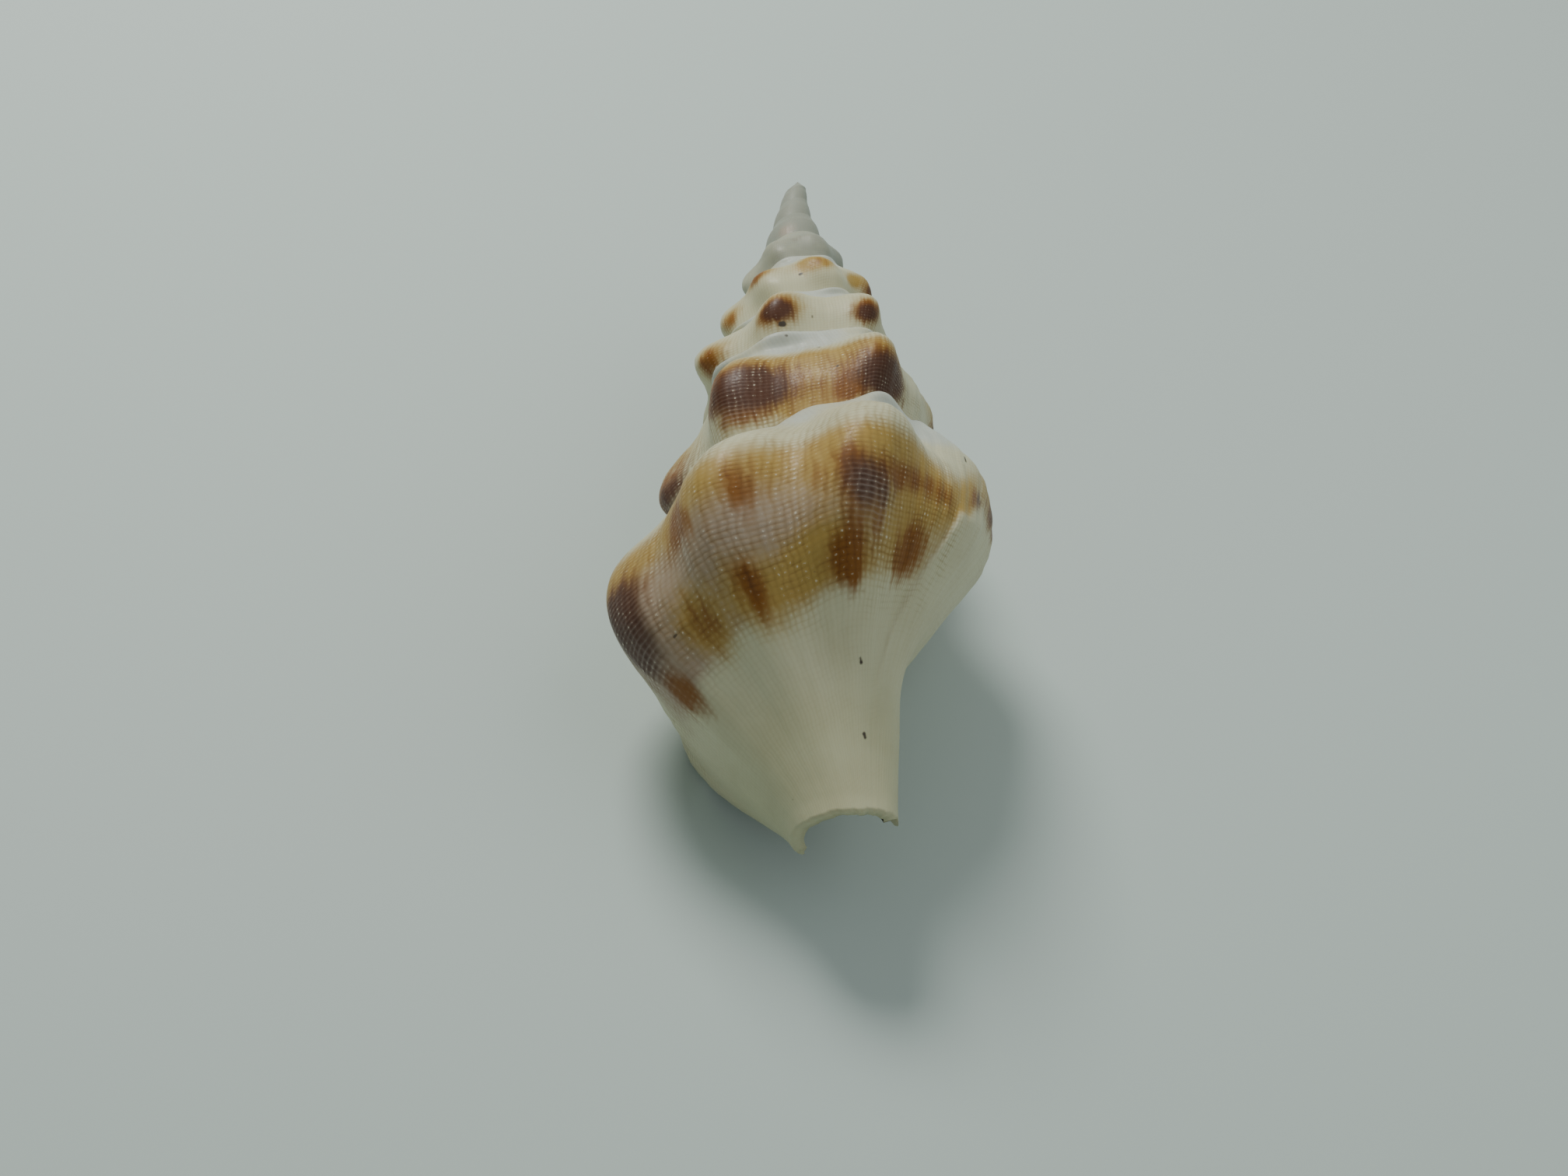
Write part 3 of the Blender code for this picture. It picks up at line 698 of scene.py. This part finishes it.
def build_surface():
    surface = Surface()

    # The whorls, each starting on the surface of the one before it
    backs = spiral_backs()[:, None]
    across = np.linspace(0, 1, ROWS + 1)[None, :]
    top = suture_height(backs)
    height = top + across * (suture_height(backs - 1) - top)
    radius = np.where(backs > 1, whorl_radius_across(backs, across), soft_radius(backs, height))
    ribs_before = whorl_radius(backs + 1) * RIB_HEIGHT * rib_height(backs + 1, 1.0)
    radius = radius + np.where(backs < TURNS - 1, ribs_before, 0) * rise(across, *OLDER_RIBS_END)
    points = to_space(chipped_back(backs, height), height, radius + relief(backs, height))
    whorls = surface.grid(points, backs, height - top, across, 0)
    surface.sheet(whorls)

    # The base of the last whorl
    last = backs[:, 0] <= 1 + ROUNDING
    backs = backs[last]
    down = np.linspace(0, 1, BASE_ROWS + 1)[None, :]
    edge = suture_height(backs - 1)
    height = edge + down * (end_height(backs) - edge)
    below = height - suture_height(backs)
    radius = soft_radius(backs, height) + relief(backs, height) * rise(down, *RELIEF_ENDS)
    points = to_space(chipped_back(backs, height), chipped_height(backs, height, down), radius)
    base = surface.grid(points[:, 1:], backs, below[:, 1:], 1 + down[:, 1:], 0)
    base = np.concatenate([whorls[last][:, -1:], base], axis=1)
    surface.sheet(base)

    # The tip
    tip_point = to_space(TURNS, TIP_HEIGHT, 0.0).reshape(1, 1, 3)
    tip = surface.grid(tip_point, TURNS, 0, 0, 0)[0, 0]
    ring = np.concatenate([whorls[0, ::-1], whorls[1:COLUMNS_BY_TURN[-1] + 1, 0]])
    for left, right in zip(ring[:-1], ring[1:]):
        surface.faces.append([int(tip), int(left), int(right)])

    # The hollow under the lip: inner wall and outer wall, meeting at its back and along its top
    depth = (np.arange(DEPTH_COLUMNS + 1) / DEPTH_COLUMNS)[:, None]
    share = down[:, 1:]
    wide = np.sqrt(1 - depth ** HOLLOW_SQUARE)
    canal_part = rise(share, CANAL_STARTS, 1)
    back = depth * between([OPENING_DEPTH, CANAL_DEPTH], canal_part)
    start = suture_height(back)
    end = end_height(back[:, -1:])
    height = start + share * (end - start)
    inner_end = end + (end_height(back[:, -1:] + 1) - end) * wide
    inner_height = start + share * (inner_end - start)
    inner = base_radius(back + 1, share)
    gap = np.maximum(soft_radius(back, height) - inner, 0.0)
    wall = between([LIP_EDGE, WALL], rise(back, 0, LIP_EDGE_REACH))
    outer = inner + gap ** 2 / (gap + wall)
    middle = inner + HOLLOW_MIDDLE * (outer - inner)
    inner_points = to_space(back + 1, inner_height, middle + (inner - middle) * wide)
    outer_height = chipped_height(back, height, share)
    outer_points = to_space(chipped_back(back, height), outer_height, middle + (outer - middle) * wide)
    outer_points[:, 0] = inner_points[:, 0]
    # painted shade deeper in the hollow, weaker in the canal, with the inside's brown
    dark = rise(depth, *HOLLOW_SHADE_DEPTHS) * (1 - CANAL_LESS_SHADED * canal_part)
    inner_wall = surface.grid(inner_points, back + 1, inner_height - start, 1 + share, dark)
    outer_wall = surface.grid(outer_points, back, height - start, 1 + share, dark)
    surface.sheet(inner_wall)
    surface.sheet(outer_wall)

    # The rim of the lip, from the suture to the canal
    lip = np.concatenate([whorls[-1], base[-1, 1:]])
    rim = np.concatenate([base[0, :2], outer_wall[0, 1:]])
    points = np.concatenate(surface.points)
    surface.bridge(lip, -points[lip, 1], rim, -points[rim, 1])

    # The canal's end: a strip round the hollow, and a fan over the pillar
    outer_end = base[::-1, -1]
    hollow_end = outer_wall[:, -1]
    per_turn = COLUMNS_BY_TURN[0]
    reach = math.ceil(CANAL_DEPTH * per_turn) + 1
    surface.bridge(outer_end[:reach + 1], np.arange(reach + 1) / per_turn,
                   hollow_end, np.arange(len(hollow_end)) / DEPTH_COLUMNS * CANAL_DEPTH)
    middle_point = to_space(1.0, end_height(1.0), 0.0).reshape(1, 1, 3)
    middle = surface.grid(middle_point, 1, end_height(1.0) - suture_height(1), 2, 0)[0, 0]
    ring = np.concatenate([outer_end[reach:], inner_wall[1:, -1]])
    for left, right in zip(ring, np.roll(ring, -1)):
        surface.faces.append([int(middle), int(left), int(right)])
    return surface


def blob(angle, below, mark_angle, mark_below, half_width, half_height):
    """A soft-edged blotch, which leans with the growth lines."""
    across = (angle - mark_angle + growth_lean(mark_angle) * (below - mark_below)) / half_width
    along = (below - mark_below) / half_height
    return np.exp(-(across ** 2 + along ** 2) ** BLOTCH_EDGE)


def colour_marks(places):
    """Work out how strong each colour is at every point."""
    back, below, share, inside = places.T
    below = below / MM
    angle = angle_of(back)
    length = (suture_height(back - 1) - suture_height(back)) / MM
    marks = {name: np.zeros_like(back) for name in MARK_NAMES}
    for name, mark_angle, mark_below, half_width, half_height, strength in MARKS:
        marks[name] += strength * blob(angle, below, mark_angle, mark_below, half_width, half_height)

    # The other ribs, round the sides and underneath, have blotches of the same kind
    for rib_angle, _ in RIBS:
        if rib_angle in RIBS_WITH_OWN_MARKS or rib_angle > LAST_MARKED_RIB:
            continue
        rib_back = (rib_angle - LIP_ANGLE) / 360.0
        rib_length = float(suture_height(rib_back - 1) - suture_height(rib_back)) / MM
        for name, mark_across, half_width, half_across, strength in RIB_MARKS:
            marks[name] += strength * blob(angle, below, rib_angle, mark_across * rib_length,
                                           half_width, half_across * rib_length)

    # The pale ramp, where no golden mark covers it, weaker on the left as painted shade
    not_glassy = 1 - glassy(back)
    off_ribs = 1 - RAMP_RIB_WEAKER * np.clip(rib_height(back, RAMP_RIB_ACROSS), 0, 1)
    out_of_left_shade = 1 - RAMP_LEFT_SHADE * rise(angle, *RAMP_SHADE_ANGLES)
    ramp = rise(share, *RAMP_ENDS) * off_ribs * out_of_left_shade * (1 - ease(marks["golden"])) * not_glassy
    marks["chalk"] += RAMP_CHALK * ramp

    # The tinted band of the last whorl
    on_last = rise(back, *LAST_WHORL)
    band = rise(below, *BAND_STARTS) * rise(below / length, *BAND_ENDS) * on_last
    band = band * rise(angle, *BAND_LEFT) * rise(angle, *BAND_RIGHT)
    to_right = rise(angle, *BAND_CHANGES)
    marks["mauve"] += between(BAND_MAUVE, to_right) * band
    marks["golden"] += between(BAND_GOLDEN, to_right) * band
    marks["yellow"] += rise(share, *YELLOW_BASE) * on_last
    marks["grey"] += GLASSY_GREY * glassy(back)

    # The old lip's worn surface
    worn = rise(past_varix(back, below * MM), *WORN_PAST) * rise(below, *WORN_STARTS) * on_last
    for name in WORN_COLOURS:
        marks[name] *= 1 - WORN_PALER * worn * rise(angle, *WORN_ENDS)

    # The net of threads and growth lines
    threads = between([THREADS_LEAST, 1], rise(share, *THREADS_START) * rise(share, *THREADS_END))
    threads = threads * (1 - WORN_SMOOTHER * rise(angle, *WORN_SMOOTH) * rise(angle, *WORN_ENDS))
    threads = threads * (1 - THREADS_FAINTER * rise(back, *THREADS_FADE)) * (1 - inside)
    marks["threads"] = threads
    marks["inside"] = inside
    growth = np.radians(growth_angle(back, below * MM) - LIP_ANGLE) * whorl_radius(0) / GROWTH_LINE
    thread = below * MM / (THREAD * (length / THREAD_WHORL) ** THREAD_CLOSER)
    marks["weave"] = np.stack([growth, thread, whorl_radius(back) / whorl_radius(0)], axis=-1)
    return marks


class Nodes:
    """Short ways of adding the shader's nodes and linking them."""

    def __init__(self, material):
        material.use_nodes = True
        self.tree = material.node_tree
        self.shader = self.tree.nodes["Principled BSDF"]

    def link(self, value, socket):
        if isinstance(value, bpy.types.NodeSocket):
            self.tree.links.new(value, socket)
        else:
            socket.default_value = value

    def attribute(self, name, output="Fac"):
        node = self.tree.nodes.new("ShaderNodeAttribute")
        node.attribute_name = name
        return node.outputs[output]

    def math(self, operation, first, second=0.0, third=0.0):
        node = self.tree.nodes.new("ShaderNodeMath")
        node.operation = operation
        for value, socket in zip((first, second, third), node.inputs):
            self.link(value, socket)
        return node.outputs[0]

    def times(self, first, second):
        return self.math("MULTIPLY", first, second)

    def add(self, base, value, amount):
        """The base with an amount of the value added."""
        return self.math("MULTIPLY_ADD", value, amount, base)

    def less(self, first, second):
        return self.math("SUBTRACT", first, second)

    def power(self, base, exponent):
        return self.math("POWER", base, exponent)

    def ridges(self, phase):
        """A smooth ridge at every whole number, 0 to 1."""
        turned = self.times(phase, 2 * math.pi)
        return self.math("MULTIPLY_ADD", self.math("COSINE", turned), 0.5, 0.5)

    def separate(self, vector):
        node = self.tree.nodes.new("ShaderNodeSeparateXYZ")
        self.link(vector, node.inputs[0])
        return node.outputs

    def combine(self, x, y, z):
        node = self.tree.nodes.new("ShaderNodeCombineXYZ")
        for value, socket in zip((x, y, z), node.inputs):
            self.link(value, socket)
        return node.outputs[0]

    def noise(self, vector, scale, detail=2.0):
        node = self.tree.nodes.new("ShaderNodeTexNoise")
        self.link(vector, node.inputs["Vector"])
        node.inputs["Scale"].default_value = scale
        node.inputs["Detail"].default_value = detail
        return node.outputs[0]

    def smooth_step(self, value, low, high, to_low=0.0, to_high=1.0):
        node = self.tree.nodes.new("ShaderNodeMapRange")
        node.interpolation_type = "SMOOTHSTEP"
        self.link(value, node.inputs["Value"])
        node.inputs["From Min"].default_value = low
        node.inputs["From Max"].default_value = high
        node.inputs["To Min"].default_value = to_low
        node.inputs["To Max"].default_value = to_high
        return node.outputs[0]

    def mix(self, share, first, second, blend="MIX"):
        node = self.tree.nodes.new("ShaderNodeMix")
        node.data_type = "RGBA"
        node.blend_type = blend
        self.link(share, node.inputs[0])
        self.link(first, node.inputs[6])
        self.link(second, node.inputs[7])
        return node.outputs[2]


class Pattern:
    """The shell's noises, and its net of spiral threads crossed by growth lines."""

    def __init__(self, nodes):
        coordinates = nodes.tree.nodes.new("ShaderNodeTexCoord").outputs["Object"]
        self.cloudy = nodes.noise(coordinates, CLOUDS, 3.0)
        self.ragged = nodes.noise(coordinates, RAGGED)
        self.fine = nodes.noise(coordinates, GRAIN)
        self.specks = nodes.noise(coordinates, SPECKS, 1.0)

        # Both kinds of line are a little uneven, and some growth lines are stronger
        growth, thread, self.size = nodes.separate(nodes.attribute("weave", "Vector"))[:3]
        growth = nodes.add(growth, nodes.noise(coordinates, GROWTH_DRIFT), GROWTH_WANDERS)
        growth = nodes.add(growth, self.ragged, GROWTH_RAGGED)
        thread = nodes.add(thread, nodes.noise(coordinates, THREAD_DRIFT), THREAD_WANDERS)
        thread = nodes.add(thread, self.ragged, THREAD_RAGGED)
        groups = nodes.noise(nodes.combine(nodes.times(growth, LINE_GROUPS), 0.0, 0.0), 1.0)
        self.threads = nodes.ridges(thread)
        self.lines = nodes.times(nodes.ridges(growth), nodes.smooth_step(groups, *LINE_LEVELS))
        streaked = nodes.combine(nodes.times(growth, COLUMN_WIDTH), nodes.times(thread, COLUMN_LENGTH), 0.0)
        self.columns = nodes.noise(streaked, 1.0)

        # Beads where they cross, some with a painted highlight (glint), grooves between threads, and creases
        # between growth lines
        self.beads = nodes.times(self.lines, self.threads)
        self.raised = nodes.math("MAXIMUM", nodes.power(self.threads, THREAD_NARROW),
                                 nodes.power(self.lines, GROWTH_NARROW))
        groove = nodes.power(nodes.less(1.0, self.threads), GROOVE_NARROW)
        groove = nodes.times(groove, nodes.smooth_step(self.ragged, *GROOVE_LEVELS))
        self.crease = nodes.power(nodes.less(1.0, self.lines), CREASE_NARROW)
        shining = nodes.smooth_step(nodes.noise(coordinates, SHINING, 1.0), *SHINING_LEVELS)
        painted_glint = nodes.times(nodes.smooth_step(self.beads, *BEAD_LEVELS),
                            nodes.smooth_step(self.fine, *GRAIN_LEVELS))

        # The net is stronger in some places than in others
        patchy = nodes.smooth_step(nodes.noise(coordinates, NET_PATCHES), *NET_LEVELS)
        self.woven = nodes.times(nodes.attribute("threads"), patchy)
        self.valley = nodes.times(groove, self.woven)
        self.painted_glint = nodes.times(nodes.times(painted_glint, shining), self.woven)


def patch(nodes, pattern, name, low, high, raggedness, beadedness, streaks):
    """How strongly a coloured mark shows, with its edge roughened."""
    mark = nodes.attribute(name)
    value = nodes.add(mark, nodes.less(pattern.ragged, 0.5), raggedness)
    value = nodes.add(value, nodes.less(pattern.columns, 0.5), streaks)
    value = nodes.add(value, nodes.less(pattern.cloudy, 0.5), raggedness)
    value = nodes.add(value, nodes.less(0.5, pattern.beads), beadedness)
    value = nodes.times(value, nodes.smooth_step(mark, *PATCH_LEVELS))
    return nodes.smooth_step(value, low, high)


def paint(nodes, pattern):
    """The shell's colour, with painted highlights on the beads and painted shade in the grooves, creases and
    hollow.
    """
    colour = CREAM
    for name, patch_colour, *edge in PATCHES:
        colour = nodes.mix(patch(nodes, pattern, name, *edge), colour, patch_colour)

    # Threads look paler, beads carry a painted highlight (glint), and grooves and creases carry painted
    # shade
    dark = nodes.smooth_step(nodes.attribute("purple"), *DARK_LEVELS)
    dark = nodes.times(dark, nodes.times(pattern.woven, DARK_VEIL))
    veil = nodes.times(nodes.attribute("haze"),
                       nodes.math("MULTIPLY_ADD", pattern.raised, 1 - VEIL_FLAT, VEIL_FLAT))
    veil = nodes.add(veil, dark, pattern.raised)
    colour = nodes.mix(veil, colour, HAZE)
    colour = nodes.mix(nodes.times(pattern.painted_glint, PAINTED_GLINT_STRENGTH), colour, PAINTED_GLINT_COLOUR)
    # painted shade in the grooves between threads and the creases between growth lines
    colour = nodes.mix(nodes.times(pattern.valley, GROOVE_SHADE), colour, GROOVE_SHADE_AND_CLOUDS, "MULTIPLY")
    lines = nodes.math("MULTIPLY_ADD", pattern.woven, CREASE_SHADE, CREASE_SHADE_LEAST)
    colour = nodes.mix(nodes.times(pattern.crease, lines), colour, GROOVE_SHADE_AND_CLOUDS, "MULTIPLY")
    colour = nodes.mix(nodes.smooth_step(pattern.cloudy, *CLOUD_LEVELS), colour, GROOVE_SHADE_AND_CLOUDS, "MULTIPLY")

    # Dirt, and the dark inside of the opening: its brown colour, darkened with depth as painted shade
    colour = nodes.mix(nodes.smooth_step(pattern.specks, *SPECK_LEVELS), colour, DIRT)
    dirt, dirt_colour, *edge = DIRT_PATCH
    colour = nodes.mix(patch(nodes, pattern, dirt, *edge), colour, dirt_colour)
    return nodes.mix(nodes.smooth_step(nodes.attribute("inside"), *INSIDE_SHADE_LEVELS), colour, INSIDE_BROWN_AND_SHADE)


def fine_relief(nodes, pattern):
    """The surface's direction, tilted by the beads, threads, growth lines and grain."""
    height = nodes.times(nodes.add(pattern.beads, pattern.threads, THREAD_RELIEF), pattern.woven)
    height = nodes.add(height, pattern.lines, GROWTH_RELIEF)
    height = nodes.add(height, pattern.fine, GRAIN_RELIEF)
    bump = nodes.tree.nodes.new("ShaderNodeBump")
    bump.inputs["Distance"].default_value = BUMP
    bump.inputs["Strength"].default_value = 1.0
    nodes.link(nodes.times(height, pattern.size), bump.inputs["Height"])
    return bump.outputs[0]


def shell_material():
    material = bpy.data.materials.new("shell_lime")
    nodes = Nodes(material)
    pattern = Pattern(nodes)
    roughness = nodes.smooth_step(pattern.fine, *ROUGHNESS_LEVELS)
    surface = nodes.shader.inputs
    nodes.link(paint(nodes, pattern), surface["Base Color"])
    nodes.link(nodes.add(roughness, pattern.valley, GROOVE_ROUGHER), surface["Roughness"])
    nodes.link(fine_relief(nodes, pattern), surface["Normal"])
    surface["Specular IOR Level"].default_value = SPECULAR
    surface["Coat Weight"].default_value = COAT
    surface["Coat Roughness"].default_value = COAT_ROUGHNESS
    surface["Subsurface Weight"].default_value = SUBSURFACE
    surface["Subsurface Radius"].default_value = SUBSURFACE_RADIUS
    surface["Subsurface Scale"].default_value = SUBSURFACE_SCALE
    return material


def make_shell():
    surface = build_surface()
    mesh = bpy.data.meshes.new("shell_surface")
    mesh.from_pydata(lay_down(np.concatenate(surface.points)).tolist(), [], surface.faces)
    marks = colour_marks(np.concatenate(surface.places))
    for name, values in marks.items():
        if name == "weave":
            attribute = mesh.attributes.new(name, "FLOAT_VECTOR", "POINT")
            attribute.data.foreach_set("vector", values.astype(np.float32).ravel())
        else:
            attribute = mesh.attributes.new(name, "FLOAT", "POINT")
            attribute.data.foreach_set("value", values.astype(np.float32))
    work = bmesh.new()
    work.from_mesh(mesh)
    bmesh.ops.remove_doubles(work, verts=work.verts, dist=MERGED)
    bmesh.ops.recalc_face_normals(work, faces=work.faces)
    work.to_mesh(mesh)
    work.free()
    mesh.validate()
    mesh.shade_smooth()
    mesh.materials.append(shell_material())
    shell = bpy.data.objects.new("shell_surface", mesh)
    bpy.context.scene.collection.objects.link(shell)
    return shell


def make_camera():
    data = bpy.data.cameras.new("camera")
    data.sensor_fit = "HORIZONTAL"
    data.sensor_width = CAMERA_SENSOR
    data.lens = CAMERA_LENS
    data.clip_start = CAMERA_CLIP
    camera = bpy.data.objects.new("camera", data)
    turn = (Matrix.Rotation(math.radians(-CAMERA_AZIMUTH), 4, "Z")
            @ Matrix.Rotation(math.radians(90 - CAMERA_ELEVATION), 4, "X")
            @ Matrix.Rotation(math.radians(CAMERA_ROLL), 4, "Z"))
    camera.matrix_world = Matrix.Translation(CAMERA_PLACE) @ turn
    bpy.context.scene.collection.objects.link(camera)
    bpy.context.scene.camera = camera


def make_floor():
    mesh = bpy.data.meshes.new("floor")
    corners = [(x * FLOOR_REACH, y * FLOOR_REACH, 0) for x, y in [(-1, -1), (1, -1), (1, 1), (-1, 1)]]
    mesh.from_pydata(corners, [], [(0, 1, 2, 3)])
    floor = bpy.data.objects.new("floor", mesh)
    bpy.context.scene.collection.objects.link(floor)
    material = bpy.data.materials.new("floor")
    material.use_nodes = True
    surface = material.node_tree.nodes["Principled BSDF"]
    surface.inputs["Base Color"].default_value = FLOOR_COLOUR
    surface.inputs["Roughness"].default_value = FLOOR_ROUGHNESS
    mesh.materials.append(material)


def make_light(name, place, width, watts, colour):
    data = bpy.data.lights.new(name, "AREA")
    data.shape = "DISK"
    data.size = width * MM
    data.energy = watts
    data.color = colour
    light = bpy.data.objects.new(name, data)
    light.location = Vector(place) * MM
    light.rotation_euler = (-light.location).to_track_quat("-Z", "Y").to_euler()
    bpy.context.scene.collection.objects.link(light)


def make_lights():
    for light in LIGHTS:
        make_light(*light)
    world = bpy.data.worlds.new("world")
    world.use_nodes = True
    sky = world.node_tree.nodes["Background"]
    sky.inputs["Color"].default_value = SKY_COLOUR
    sky.inputs["Strength"].default_value = SKY_STRENGTH
    bpy.context.scene.world = world


shell = make_shell()
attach(shell, "root")
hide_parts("shell")
make_floor()
make_lights()
make_camera()
